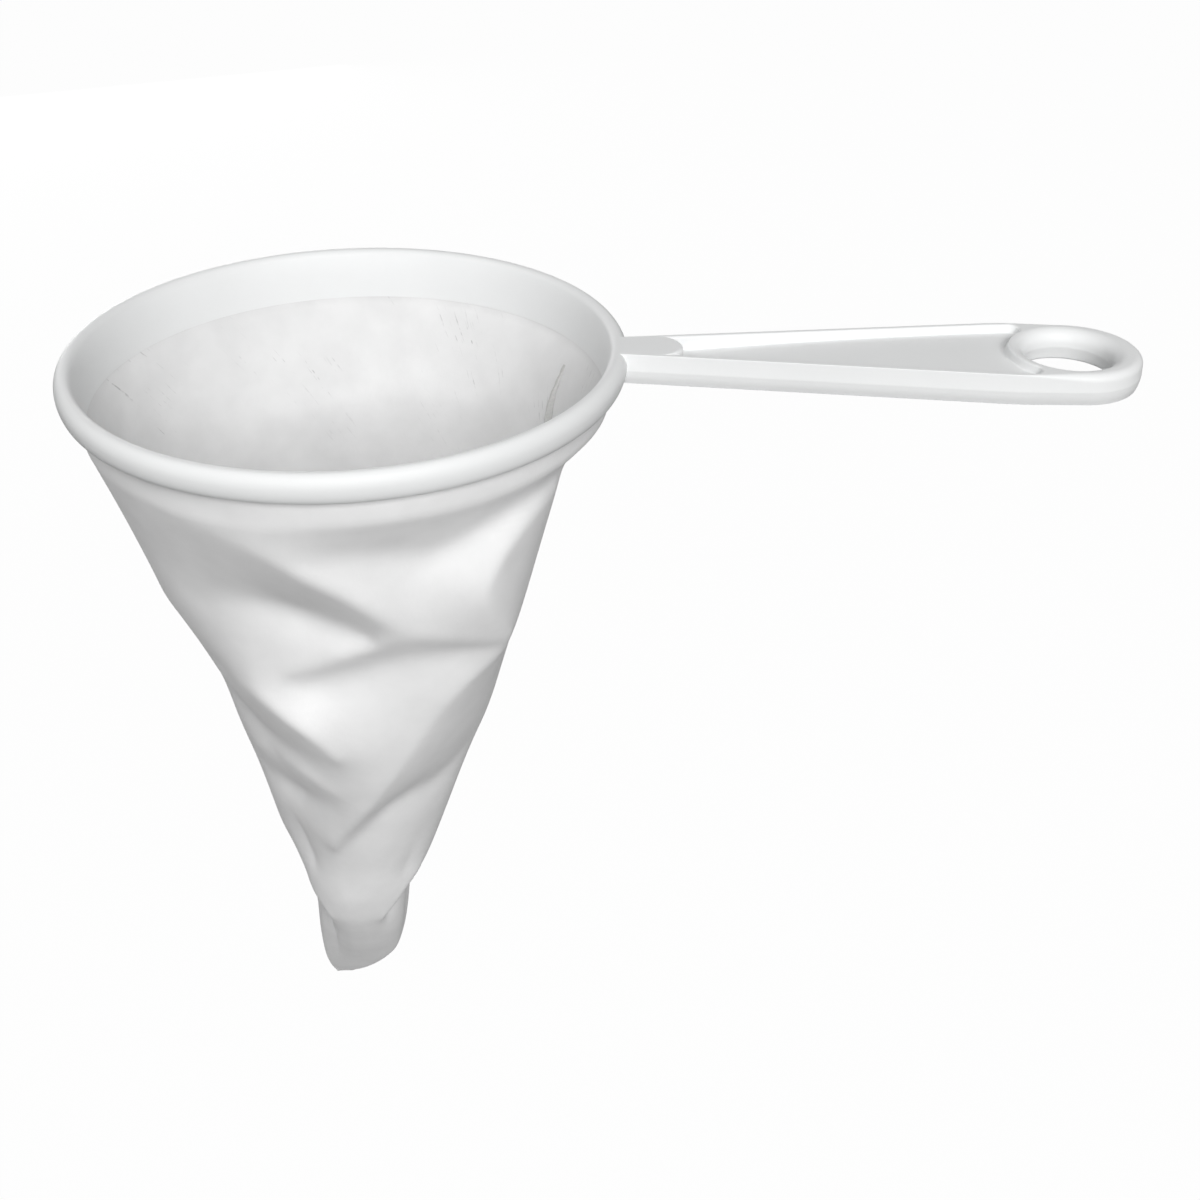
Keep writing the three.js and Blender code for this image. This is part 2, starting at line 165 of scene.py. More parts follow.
# How finely the surfaces are divided
RING_STEPS = 320
ARC_STEPS = 8
EDGE_STEPS = 6
ROLL_STEPS = 14
FLARE_STEPS = 40
HANDLE_POINTS = 110
HANDLE_SPACING_POWER = 1.8  # the points lie closer near the hoop
CAP_STEPS = 72
CHANNEL_POINTS = 60
CORNER_STEPS = 12
BOSS_STEPS = 28
EYE_STEPS = 144
TONGUE_POINTS = 16
TONGUE_END_STEPS = 40
BAG_COLUMNS = 288
BAG_ROWS = 166
SEAM_ROWS = 260
SEAM_COLUMNS = 20
MERGE_WITHIN = 0.002  # points of joined surfaces this close become one
SHARP_ANGLE = math.radians(40)  # edges that bend more are shaded as sharp


# Meshes

def grid_faces(rows, columns, rows_close=False, columns_close=False):
    """Quads of a grid of points that are numbered row by row. A closed direction joins its last line to its
    first."""
    i, j = np.meshgrid(
        np.arange(rows if rows_close else rows - 1),
        np.arange(columns if columns_close else columns - 1),
        indexing="ij",
    )
    below, beside = (i + 1) % rows, (j + 1) % columns
    corners = [i * columns + j, i * columns + beside, below * columns + beside, below * columns + j]
    return np.stack(corners, -1).reshape(-1, 4).tolist()


def face_outwards(mesh, merge=False):
    """Turns the faces of a mesh outwards, where asked after merging the points that its surfaces share."""
    made = bmesh.new()
    made.from_mesh(mesh)
    if merge:
        bmesh.ops.remove_doubles(made, verts=made.verts, dist=MERGE_WITHIN * MM)
    bmesh.ops.recalc_face_normals(made, faces=made.faces)
    made.to_mesh(mesh)
    made.free()


def new_piece(name, surfaces, body, material, replaced):
    """Joins surfaces, each a list of points in millimetres and its faces, into one closed mesh, puts it on a
    body and gives it its finish."""
    points, faces = [], []
    for surface_points, surface_faces in surfaces:
        start = sum(len(p) for p in points)
        points.append(np.asarray(surface_points, float).reshape(-1, 3))
        faces += [[start + corner for corner in face] for face in surface_faces]
    mesh = bpy.data.meshes.new(name)
    mesh.from_pydata(np.concatenate(points) * MM, [], faces)
    face_outwards(mesh, merge=True)
    return finish_piece(mesh, name, body, material, replaced)


def finish_piece(mesh, name, body, material, replaced):
    """Links a mesh as a smooth object at the origin, on its body, standing for a CAD node."""
    mesh.shade_smooth()
    mesh.set_sharp_from_angle(angle=SHARP_ANGLE)
    mesh.materials.append(material)
    made = bpy.data.objects.new(name, mesh)
    bpy.context.scene.collection.objects.link(made)
    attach(made, body)
    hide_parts(replaced)
    return made


def ellipse(centre_a, centre_b, run, rise, start, end, steps=ARC_STEPS):
    """Points on an ellipse round a centre, between two angles in degrees."""
    angle = np.radians(np.linspace(start, end, steps + 1))
    return np.stack([centre_a + run * np.cos(angle), centre_b + rise * np.sin(angle)], -1)


def turned(profile):
    """A closed profile of (radius, height) points turned about the hoop's axis."""
    angle = np.linspace(0, 2 * np.pi, RING_STEPS, endpoint=False)[:, None]
    radius, height = profile[:, 0], profile[:, 1]
    points = np.stack([radius * np.cos(angle), radius * np.sin(angle), height + 0 * angle], -1)
    return points, grid_faces(RING_STEPS, len(profile), rows_close=True, columns_close=True)


def outward(outline, closed):
    """Unit normals of a plan outline that runs anticlockwise round its material."""
    if closed:
        along = np.roll(outline, -1, 0) - np.roll(outline, 1, 0)
    else:
        along = np.gradient(outline, axis=0)
    across = np.stack([along[:, 1], -along[:, 0]], -1)
    return across / np.linalg.norm(across, axis=1, keepdims=True)


def wall(outline, levels, closed=False):
    """A profile of (inset, height) levels carried along a plan outline: each level is the outline moved
    inwards along its normals by the inset, at its height, and either may change from point to point. Returns
    the points by level, and the faces."""
    normals = outward(outline, closed)
    count = len(outline)
    insets = np.array([np.broadcast_to(inset, count) for inset, _ in levels])[..., None]
    heights = np.array([np.broadcast_to(height, count) for _, height in levels])[..., None]
    points = np.concatenate([outline - insets * normals, heights], -1)
    return points, grid_faces(len(levels), count, columns_close=closed)


def edge_levels(inset, height, run, rise, start, end, steps=EDGE_STEPS):
    """Levels of a rounded edge: part of an ellipse round (inset, height), between two angles in degrees."""
    angles = np.radians(np.linspace(start, end, steps + 1))
    return [(inset + run * math.cos(angle), height + rise * math.sin(angle)) for angle in angles]


def smooth_step(value, start, end):
    """0 before start, 1 after end, and an even ease between them."""
    share = np.clip((value - start) / (end - start), 0, 1)
    return share * share * (3 - 2 * share)


def signed_root(value):
    """Square root of a size with its sign kept, which takes a circle's sine and cosine towards a square."""
    return np.sign(value) * np.sqrt(np.abs(value))


def filled(*loops):
    """A flat face inside the first loop of points, with the other loops as holes."""
    points = np.concatenate(loops)
    triangles = tessellate_polygon([[Vector(p) for p in loop] for loop in loops])
    return points, [list(t) for t in triangles]


# Materials

def linear(colour):
    """An sRGB hex colour as linear red, green, blue and alpha."""
    values = np.array([int(colour[i:i + 2], 16) / 255 for i in (0, 2, 4)])
    low, high = values / 12.92, ((values + 0.055) / 1.055) ** 2.4
    return (*np.where(values <= 0.04045, low, high), 1.0)


def add_node(tree, kind, settings=None, *sources, **links):
    """Adds a node. Settings are its properties or sockets by name, sources are joined to its first sockets
    in turn, and links to its sockets by name."""
    made = tree.nodes.new(kind)
    for name, value in (settings or {}).items():
        if name in made.inputs:
            made.inputs[name].default_value = value
        else:
            setattr(made, name, value)
    for socket, source in zip(made.inputs, sources):
        tree.links.new(source, socket)
    for name, source in links.items():
        tree.links.new(source, made.inputs[name.replace("_", " ")])
    return made


def new_material(name):
    """An empty material with its output node."""
    material = bpy.data.materials.new(name)
    material.use_nodes = True
    tree = material.node_tree
    tree.nodes.clear()
    return material, tree, tree.nodes.new("ShaderNodeOutputMaterial")


def moulded_polypropylene():
    """Polypropylene from a polished mould: white, with a soft gloss that flow marks and handling break up.
    The mould's grain is drawn coarser than it is, so that it shows."""
    material, tree, output = new_material("moulded_polypropylene")
    place = add_node(tree, "ShaderNodeTexCoord").outputs["Object"]
    cloud = add_node(tree, "ShaderNodeTexNoise", {"Scale": 1 / (18 * MM), "Detail": 3.0}, Vector=place)
    grain = add_node(tree, "ShaderNodeTexNoise", {"Scale": 1 / (0.7 * MM), "Detail": 2.0}, Vector=place)
    tint = add_node(tree, "ShaderNodeValToRGB", Fac=cloud.outputs["Fac"])
    tint.color_ramp.elements[0].color = linear("edeeee")
    tint.color_ramp.elements[1].color = linear("f2f3f3")
    gloss = add_node(
        tree, "ShaderNodeMapRange", {"To Min": 0.42, "To Max": 0.56}, Value=cloud.outputs["Fac"],
    )
    bump = add_node(
        tree, "ShaderNodeBump", {"Strength": 0.06, "Distance": 0.1 * MM}, Height=grain.outputs["Fac"],
    )
    shader = add_node(
        tree, "ShaderNodeBsdfPrincipled",
        {"IOR": 1.49, "Specular IOR Level": 0.25},
        Base_Color=tint.outputs["Color"], Roughness=gloss.outputs["Result"], Normal=bump.outputs["Normal"],
    )
    tree.links.new(shader.outputs["BSDF"], output.inputs["Surface"])
    return material


def with_dark_streaks(tree, colour, streak_colour):
    """Mixes thin dark streaks into a colour: noise drawn out along a slant of the cloth and cut to its
    peaks, broken by fine noise and kept to patches by coarse noise."""
    cloth = add_node(tree, "ShaderNodeAttribute", {"attribute_name": "cloth"}).outputs["Vector"]
    slant = add_node(
        tree, "ShaderNodeMapping",
        {"vector_type": "TEXTURE", "Rotation": (0, 0, math.radians(36)), "Scale": (0.55 * MM, 13 * MM, 1)},
        Vector=cloth,
    )
    cuts = []
    for vector, scale, low, high in (
        (slant.outputs["Vector"], 1.0, 0.64, 0.76),
        (cloth, 1 / (1.6 * MM), 0.46, 0.62),
        (cloth, 1 / (26 * MM), 0.5, 0.64),
    ):
        noise = add_node(tree, "ShaderNodeTexNoise", {"Scale": scale, "Detail": 1.0}, Vector=vector)
        cut = add_node(
            tree, "ShaderNodeMapRange", {"From Min": low, "From Max": high}, Value=noise.outputs["Fac"],
        )
        cuts.append(cut.outputs["Result"])
    share = cuts[0]
    for cut in cuts[1:]:
        share = add_node(tree, "ShaderNodeMath", {"operation": "MULTIPLY"}, share, cut).outputs[0]
    mix = add_node(tree, "ShaderNodeMixRGB", {"Color2": streak_colour}, Fac=share, Color1=colour)
    return mix.outputs["Color"]


def napped_flannel(name, dark, pale, streak_colour=None):
    """Brushed cotton flannel: a raised nap hides the weave, so the cloth is matt and faintly mottled, with a
    bloom of loose fibres. The nap is drawn coarser than it is, so that it shows. A streak colour adds thin
    dark streaks that lie across the nap in patches."""
    material, tree, output = new_material(name)
    place = add_node(tree, "ShaderNodeTexCoord").outputs["Object"]
    fuzz = add_node(
        tree, "ShaderNodeTexNoise", {"Scale": 1 / (1.1 * MM), "Detail": 5.0, "Roughness": 0.7}, Vector=place,
    )
    mottle = add_node(tree, "ShaderNodeTexNoise", {"Scale": 1 / (9 * MM), "Detail": 3.0}, Vector=place)
    tint = add_node(tree, "ShaderNodeValToRGB", Fac=mottle.outputs["Fac"])
    tint.color_ramp.elements[0].position = 0.3
    tint.color_ramp.elements[0].color = linear(dark)
    tint.color_ramp.elements[1].position = 0.7
    tint.color_ramp.elements[1].color = linear(pale)
    colour = tint.outputs["Color"]
    if streak_colour:
        colour = with_dark_streaks(tree, colour, linear(streak_colour))
    bump = add_node(
        tree, "ShaderNodeBump", {"Strength": 0.25, "Distance": 0.15 * MM}, Height=fuzz.outputs["Fac"],
    )
    shader = add_node(
        tree, "ShaderNodeBsdfPrincipled",
        {"Roughness": 0.95, "Specular IOR Level": 0.1, "Sheen Weight": 0.15, "Sheen Roughness": 0.5},
        Base_Color=colour, Normal=bump.outputs["Normal"],
    )
    tree.links.new(shader.outputs["BSDF"], output.inputs["Surface"])
    return material


def spun_thread_painted_shade():
    """Spun cotton thread of an overlock stitch: matt, with uneven plies, and greyer than the cloth, partly
    as its own colour and partly as painted shade for the dark line along the seam."""
    material, tree, output = new_material("spun_cotton_thread_painted_shade")
    place = add_node(tree, "ShaderNodeTexCoord").outputs["Object"]
    plies = add_node(tree, "ShaderNodeTexNoise", {"Scale": 1 / (0.4 * MM), "Detail": 3.0}, Vector=place)
    tint = add_node(tree, "ShaderNodeValToRGB", Fac=plies.outputs["Fac"])
    # the thread's grey is partly its own colour and partly painted shade for the dark line along the seam
    tint.color_ramp.elements[0].color = linear("c4c4c2")
    tint.color_ramp.elements[1].color = linear("dcdcda")
    bump = add_node(
        tree, "ShaderNodeBump", {"Strength": 0.4, "Distance": 0.2 * MM}, Height=plies.outputs["Fac"],
    )
    shader = add_node(
        tree, "ShaderNodeBsdfPrincipled", {"Roughness": 0.9, "Specular IOR Level": 0.15},
        Base_Color=tint.outputs["Color"], Normal=bump.outputs["Normal"],
    )
    tree.links.new(shader.outputs["BSDF"], output.inputs["Surface"])
    return material


white_plastic = moulded_polypropylene()
flannel = napped_flannel("napped_cotton_flannel", "ededed", "f4f4f4")
# the inside's copy of the flannel is painted darker than the outside's, as painted shade inside the bag; it
# also carries the dark streaks
flannel_inside_shaded = napped_flannel("napped_cotton_flannel_inside_painted_shade", "e1e1e1", "e9e9e9", "b4b4b4")
thread = spun_thread_painted_shade()


# Hoop and handle

widest = HOOP_HEIGHT - BEAD_SHOULDER
lip_crest = HOOP_RADIUS - LIP_ROLL
rim_round = RIM_TOP - widest
# where the lip's round takes over from the bead's, and the centre of the channel's corner at the boss
parted = math.degrees(math.asin(BEAD_SHOULDER / rim_round))
corner_y = END_HALF_WIDTH - RAIL - CHANNEL_CORNER
corner_x = EYE_X - math.sqrt((BOSS_RADIUS + CHANNEL_CORNER) ** 2 - corner_y ** 2)


def bead():
    """The hoop's section turned about its axis: flat bore and seat, a long round up to the widest line and
    the first part of the round that the lip completes."""
    seat_edge = HOOP_BORE + HOOP_SEAT
    below = ellipse(seat_edge, widest, HOOP_RADIUS - seat_edge, widest, -90, 0, ROLL_STEPS)
    above = ellipse(lip_crest, widest, LIP_ROLL, rim_round, 0, parted)[1:]
    return turned(np.concatenate([[(HOOP_BORE, 0)], below, above, [(HOOP_BORE, HOOP_HEIGHT)]]))


def handle_half_width(x):
    """Straight taper from the hoop to the eye's shoulder, softly rounded into the parallel end."""
    slope = (END_HALF_WIDTH - ROOT_HALF_WIDTH) / (TAPER_END - HOOP_RADIUS)
    taper = END_HALF_WIDTH - slope * (TAPER_END - x)
    return (taper + END_HALF_WIDTH - np.sqrt((taper - END_HALF_WIDTH) ** 2 + TAPER_SOFTNESS ** 2)) / 2


def channel_floor(x):
    """Height of the channel's floor, which rises from the tongue towards the eye and levels out."""
    left = 1 - np.clip((x - CHANNEL_RISE_START) / (CHANNEL_RISE_END - CHANNEL_RISE_START), 0, 1)
    return RIM_TOP - CHANNEL_END_DEPTH - (CHANNEL_DEPTH - CHANNEL_END_DEPTH) * left ** 2


def handle_outline():
    """Anticlockwise plan of the handle, open at the hoop: one side, round end, other side."""
    cap_x = HANDLE_END - END_HALF_WIDTH
    x = RAIL_START + (cap_x - RAIL_START) * np.linspace(0, 1, HANDLE_POINTS) ** HANDLE_SPACING_POWER
    side = np.stack([x, -handle_half_width(x)], -1)
    cap = ellipse(cap_x, 0, END_HALF_WIDTH, END_HALF_WIDTH, -90, 90, CAP_STEPS)[1:-1]
    return np.concatenate([side, cap, side[::-1] * [1, -1]])


def channel_outline():
    """Anticlockwise plan of the channel, open at the hoop: along one rail, round the boss and back along the
    other."""
    x = np.linspace(RAIL_START, corner_x, CHANNEL_POINTS)
    rail = np.stack([x, RAIL - handle_half_width(x)], -1)
    rail[-1, 1] = -corner_y - CHANNEL_CORNER
    meeting = math.degrees(math.atan2(corner_y, EYE_X - corner_x))
    corner = ellipse(corner_x, -corner_y, CHANNEL_CORNER, CHANNEL_CORNER, -90, meeting, CORNER_STEPS)[1:]
    boss = ellipse(EYE_X, 0, BOSS_RADIUS, BOSS_RADIUS, 180 + meeting, 180 - meeting, BOSS_STEPS)[1:-1]
    other = np.concatenate([rail, corner])[::-1] * [1, -1]
    return np.concatenate([rail, corner, boss, other])


def handle():
    """Outer wall drafted upwards from the parting line and swept in below it by the square of the way down,
    channel with drafted walls, and an eye with a waist. Each wall ends in a flat strip beside its round
    edge."""
    foot = HANDLE_FOOT - FOOT_DROP
    outline = handle_outline()
    growth = smooth_step(outline[:, 0], CAP_ROUND_START, CAP_ROUND_FULL)
    edge = RAIL_OUTER_ROUND + (CAP_ROUND - RAIL_OUTER_ROUND) * growth
    foot_inset = FOOT_DRAFT + FOOT_ROUND
    below = PARTING - WITNESS_REACH
    lower_wall = below - foot - FOOT_ROUND
    outer = [
        (foot_inset + FLAT_STRIP, foot),
        *edge_levels(foot_inset, foot + FOOT_ROUND, FOOT_ROUND, FOOT_ROUND, 270, 180),
        *[(FOOT_DRAFT * share ** 2, below - lower_wall * share) for share in FOOT_SWEEP],
        (-PARTING_WITNESS, PARTING),
        (WALL_START, PARTING + WITNESS_REACH),
        *edge_levels(WALL_DRAFT + edge, RIM_TOP - edge, edge, edge, 180, 90),
        (WALL_DRAFT + edge + FLAT_STRIP, RIM_TOP),
    ]
    inner = RAIL_INNER_ROUND
    channel = channel_outline()
    floor = channel_floor(channel[:, 0])
    floor_inset = CHANNEL_DRAFT + FLOOR_FILLET
    inside = [
        (floor_inset + FLAT_STRIP, floor),
        *edge_levels(floor_inset, floor + FLOOR_FILLET, FLOOR_FILLET, FLOOR_FILLET, 270, 180),
        *edge_levels(-inner, RIM_TOP - inner, inner, inner, 0, 90),
        (-inner - FLAT_STRIP, RIM_TOP),
    ]
    circle = ellipse(EYE_X, 0, EYE_WAIST, EYE_WAIST, 0, 360, EYE_STEPS)[:-1]
    foot_room = EYE_FOOT - EYE_WAIST + EYE_FOOT_ROUND
    eye = [
        (-foot_room - FLAT_STRIP, foot),
        *edge_levels(-foot_room, foot + EYE_FOOT_ROUND, EYE_FOOT_ROUND, EYE_FOOT_ROUND, 270, 360),
        *[(inset, PARTING + height) for inset, height in WAIST_LEVELS],
        *edge_levels(-EYE_ROLL, RIM_TOP - EYE_ROLL_HEIGHT, EYE_ROLL, EYE_ROLL_HEIGHT, 0, 90, ROLL_STEPS),
        (-EYE_ROLL - FLAT_STRIP, RIM_TOP),
    ]
    outer_wall, outer_faces = wall(outline, outer)
    channel_wall, channel_faces = wall(channel, inside)
    eye_wall, eye_faces = wall(circle, eye, closed=True)
    root = np.concatenate([
        outer_wall[:, 0], channel_wall[::-1, 0], channel_wall[:, -1], outer_wall[::-1, -1],
    ])
    return [
        (outer_wall, outer_faces),
        (channel_wall, channel_faces),
        (eye_wall, eye_faces),
        filled(np.concatenate([outer_wall[-1], channel_wall[-1, ::-1]]), eye_wall[-1]),
        filled(channel_wall[0]),
        filled(outer_wall[0], eye_wall[0]),
        filled(root),
    ]


new_piece("hoop_bead", [bead()], "hoop", white_plastic, "hoop_handle")
new_piece("handle", handle(), "hoop", white_plastic, "hoop_handle")


# Collar

def collar_ring():
    """The collar's section turned about the hoop's axis: a rolled lip, a tapered outside against the cloth,
    and an inside that flares from the foot to the lip, its lean growing with the square of the height."""
    low = SKIRT_FOOT + SKIRT_TRIM
    foot = COLLAR_THROAT - COLLAR_TAPER * (HOOP_HEIGHT - low) / (HOOP_HEIGHT - SKIRT_FOOT)
    outside = [(foot, low), (COLLAR_THROAT, HOOP_HEIGHT)]
    outer_roll = ellipse(lip_crest, widest, LIP_ROLL, rim_round, parted, 90, ROLL_STEPS)
    inner = LIP_INNER_ROUND
    lean = math.degrees(math.atan(FLARE_TOP))
    inner_roll = ellipse(lip_crest, RIM_TOP - inner, inner, inner, 90, 180 - lean)[1:]
    start_radius, start_height = inner_roll[-1]
    tall = start_height - low
    left = np.linspace(1, 0, FLARE_STEPS + 1)[1:]
    run = FLARE_FOOT * (1 - left) + (FLARE_TOP - FLARE_FOOT) * (1 - left ** 3) / 3
    flare = np.stack([start_radius - tall * run, low + tall * left], -1)
    return turned(np.concatenate([outside, outer_roll, inner_roll, flare]))


def tongue():
    """Plate with straight sides along the rails and a round end with a softened edge, and under it the key
    that fills the channel almost down to its floor."""
    tip = TONGUE_TIP - TONGUE_TRIM
    half = handle_half_width(tip - ROOT_HALF_WIDTH) - RAIL - TONGUE_PLAY + RAIL_INNER_ROUND
    x = np.linspace(lip_crest, tip - half, TONGUE_POINTS)
    side = np.stack([x, RAIL + TONGUE_PLAY - RAIL_INNER_ROUND - handle_half_width(x)], -1)
    end = ellipse(tip - half, 0, half, half, -90, 90, TONGUE_END_STEPS)[1:-1]
    outline = np.concatenate([side, end, side[::-1] * [1, -1]])
    edge = TONGUE_EDGE + (TONGUE_ROUND - TONGUE_EDGE) * smooth_step(outline[:, 0], tip - half, tip)
    levels = [
        (0, HOOP_HEIGHT),
        (0, HOOP_HEIGHT + TONGUE_STEP),
        *edge_levels(edge, RIM_TOP - edge, edge, edge, 180, 90),
        (edge + FLAT_STRIP, RIM_TOP),
    ]
    plate, plate_faces = wall(outline, levels)
    back = np.concatenate([plate[:, 0], plate[::-1, -1]])
    key_outline = outline[outline[:, 0] > HOOP_RADIUS + KEY_START]
    sides_in = RAIL_INNER_ROUND + CHANNEL_DRAFT
    key_foot = channel_floor(key_outline[:, 0]) + KEY_CLEARANCE
    key, key_faces = wall(key_outline, [(sides_in, key_foot), (0, HOOP_HEIGHT + KEY_LAP)])
    key_back = np.concatenate([key[:, 0], key[::-1, -1]])
    return [
        (plate, plate_faces), filled(plate[0]), filled(plate[-1]), filled(back),
        (key, key_faces), filled(key[0]), filled(key[-1]), filled(key_back),
    ]


new_piece("collar_ring", [collar_ring()], "collar", white_plastic, "clamp_collar")
new_piece("collar_tongue", tongue(), "collar", white_plastic, "clamp_collar")


# Bag

# Creases of the hanging cloth. Each is a run of points: degrees round the bag from its front towards the
# handle, depth below the hoop, and how far the crease stands out from the plain cone.
RIDGES = [
    # from under the hoop down to the middle, then on as the edges of the two upper bulges
    [(-30, 7, 0), (-20, 8.5, 0), (-10, 12.5, 0.5), (-3, 17.5, 0.5), (8, 24, 1), (19, 33.5, 1.5)],
    [(19, 33.5, 1.5), (31, 36.5, 3), (48, 42, 5)],
    [(19, 33.5, 1.5), (8, 39, -1), (-4, 43.5, -2), (-17, 47.5, -1.2)],
    # left and right edge of the middle facet
    [(-50, 53.5, -2.5), (-38, 52.5, -1), (-24, 53, 1.5), (-16, 55.5, 3), (-10, 58.5, 4), (-4, 62.5, 4.5),
     (0, 67, 4.8)],
    [(50, 45, 4), (39, 50, 3.8), (31, 57, 3.5), (24, 65.5, 4.2), (17, 74.5, 4.8), (9, 84.5, 4.5),
     (0, 93.5, 3.1), (-12, 104.5, 1.4)],
    # small ledge on the left
    [(-58, 80, -1.6), (-36, 76, -2.1), (-23, 75.5, -0.2), (-13.5, 77, 1.5), (-5, 79.5, 2.7),
     (2, 81.5, 3.3)],
    # edge towards the handle, and the streak beside it
    [(62, 12.5, -1.5), (52, 13.5, 0), (45, 16, 1.4), (40, 19, 2.8), (37, 24, 4), (37, 28, 4.6), (41, 34, 5),
     (48, 41, 5)],
    # both edges of the cone's front where it narrows over the tip
    [(-70, 123, -0.5), (-45, 127, 0.9), (-32, 132, 1.5), (-25, 134.5, 1.5)],
    [(62, 119, 0.6), (47, 123.5, 1.5), (38, 128, 2), (29, 132, 2.2), (24, 134.5, 1.9)],
    # back
    [(130, 40, 3), (170, 46, 4), (215, 44, 3)],
    [(110, 62, 2), (150, 78, 4), (190, 92, 3)],
    [(215, 58, 3), (245, 68, 2)],
    [(140, 118, 1), (200, 124, 1)],
]
HOLLOWS = [
    # under the collar's skirt
    [(-2, 14, -1), (6, 14.5, -2.4), (12, 14.5, -3.2), (18.5, 16, -3.9), (26, 18, -4), (33, 16.5, -3.6),
     (40, 13.5, -3), (47, 11, -2.4), (56, 9.5, -2.6), (66, 10, -3.6), (78, 12.5, -5), (92, 15, -7)],
    # below each ridge
    [(-70, 42, 1), (-45, 34, -1), (-31, 31, -3.5), (-18, 30, -6.5), (-8, 32, -7.3), (4, 34.5, -5.3),
     (11, 36, -3.4)],
    [(23, 41, -0.8), (34, 42, 0.5), (44, 43, 3)],
    [(22, 41.5, -1.5), (7, 45.5, -3.5), (-6, 50, -4), (-13, 50.5, -2.5)],
    [(-62, 67, -3.5), (-47, 69.5, -4), (-34, 70.5, -3.3), (-21, 70.5, -1), (-10, 71, 1.3), (-3, 72.5, 3)],
    [(88, 64, -2.5), (86, 72, -1), (78, 80, -0.8), (64, 86.5, -2.5), (50, 89.5, -3.5), (32, 88.5, -3.5),
     (20, 90, -2.5), (10, 95.5, -1.5), (-2, 102, -0.8), (-16, 109, -0.3)],
    [(-62, 90, -2.5), (-45, 90, -4.5), (-31, 89, -4.3), (-15, 87, -1.2), (-4, 85.5, 1.8)],
    [(92, 15, -7), (86, 19, -7.6), (84, 25, -6.8), (82, 36, -5.6), (79, 47, -5.7), (80, 56, -4.5)],
    [(-75, 134, -0.5), (-52, 138, -2.8), (-42, 150, -2.6), (-38, 165, -1.6)],
    [(70, 126, -1), (50, 127.5, -1.8), (42, 131.5, -2), (34, 136, -1.4)],
    # the cone's front runs softly into the tip between those edges
    [(-9, 124, 1.8), (-9, 134, 1.9), (-9, 140, 1.4), (-10, 148, 0.7), (-10, 160, 0.2)],
    [(9, 124, 1.8), (9, 134, 1.9), (9, 140, 1.5), (10, 148, 0.9), (12, 165, 0.5)],
    [(85, 128, -1.6), (82, 142, -1.6), (80, 155, -0.8), (78, 166, 0.4)],
    # flat flanks beside the front edge
    [(-45, 103, -2.5), (-40, 115, -2)],
    [(50, 106, -1.2), (42, 117, -0.8)],
    # left edge
    [(-88, 16, 0), (-85, 25.5, 1.2), (-85, 37.5, 1.5), (-80, 51.5, -1.5), (-84, 65.5, -1), (-85, 79.5, 0.3),
     (-85, 95, 0.5), (-80, 112, 1)],
    # back
    [(100, 7.6, -1), (140, 7.6, -1.2), (180, 7.6, -1.2), (220, 7.6, -1.2), (260, 7.6, -1)],
    [(105, 14, -2), (150, 24, -3), (215, 26, -3)],
    [(120, 54, -2), (165, 60, -3), (205, 70, -1)],
    [(120, 96, -2), (170, 104, -2), (230, 96, -1.5)],
]
MEMBRANE_COLUMNS = 480
MEMBRANE_ROWS = 240
MEMBRANE_ROUNDS = 2500
CREASE_STEPS = 400
LEAST_RADIUS = 4.0  # the membrane's cells are taken as no narrower than at this radius
STILL_ROWS = 3  # rows at the tip that stay on the plain cone
RIDGE_SOFTNESS = 1.4  # in membrane cells
HOLLOW_SOFTNESS = 2.6
RIDGE_REACH = 2.8  # how far a ridge keeps the cloth beside it crisp
BELL_AREA = 2.5  # under a bell curve of width and height 1


def bag_radius(depth):
    """Half-width of the plain bag: the band on the skirt, a hanging cone with a waist, and the tip's rounded
    pouch."""
    neck = BAG_DEPTH - POUCH_HEIGHT
    fall = np.clip((depth + SKIRT_FOOT) / (neck + SKIRT_FOOT), 0, 1)
    cone = SKIRT_RADIUS + (POUCH_RADIUS - SKIRT_RADIUS) * fall - 4 * BAG_WAIST * fall * (1 - fall)
    band = SKIRT_RADIUS + BAND_TAPER * (-SKIRT_FOOT - depth) / (BAG_MOUTH - SKIRT_FOOT)
    pouch = POUCH_RADIUS * np.sqrt(1 - np.clip((depth - neck) / POUCH_HEIGHT, 0, 1) ** POUCH_FULLNESS)
    return np.where(depth < -SKIRT_FOOT, band, np.where(depth > neck, pouch, cone))


def bag_place(turn, depth, stand_off):
    """Point of the bag at an angle from its front, a depth and a distance out from the plain cone. The
    cone's axis leans to the folded side, a quarter of it evenly and the rest with the square of the depth,
    and the flat-sewn pouch at its tip also swings to the back."""
    hang = np.clip((depth + SKIRT_FOOT) / (BAG_DEPTH + SKIRT_FOOT), 0, 1)
    plain = bag_radius(depth)
    tip = np.clip((depth - BAG_DEPTH + POUCH_HEIGHT) / POUCH_HEIGHT, 0, 1)
    narrowing = np.where(tip > 0, POUCH_RADIUS - plain, 0)
    x = -BAG_LEAN * (hang + 3 * hang ** 2) / 4 - POUCH_SKEW * narrowing + (plain + stand_off) * np.sin(turn)
    flat = 1 - BAG_FLATNESS * hang ** 3 - POUCH_FLATNESS * tip
    fold = np.clip((depth - BAG_DEPTH + POUCH_FOLD) / POUCH_FOLD, 0, 1)
    swing = POUCH_BEND * fold ** POUCH_BEND_POWER
    y = swing - (plain + stand_off) * np.cos(turn) * flat
    return np.stack([x, y, -depth + 0 * turn], -1)


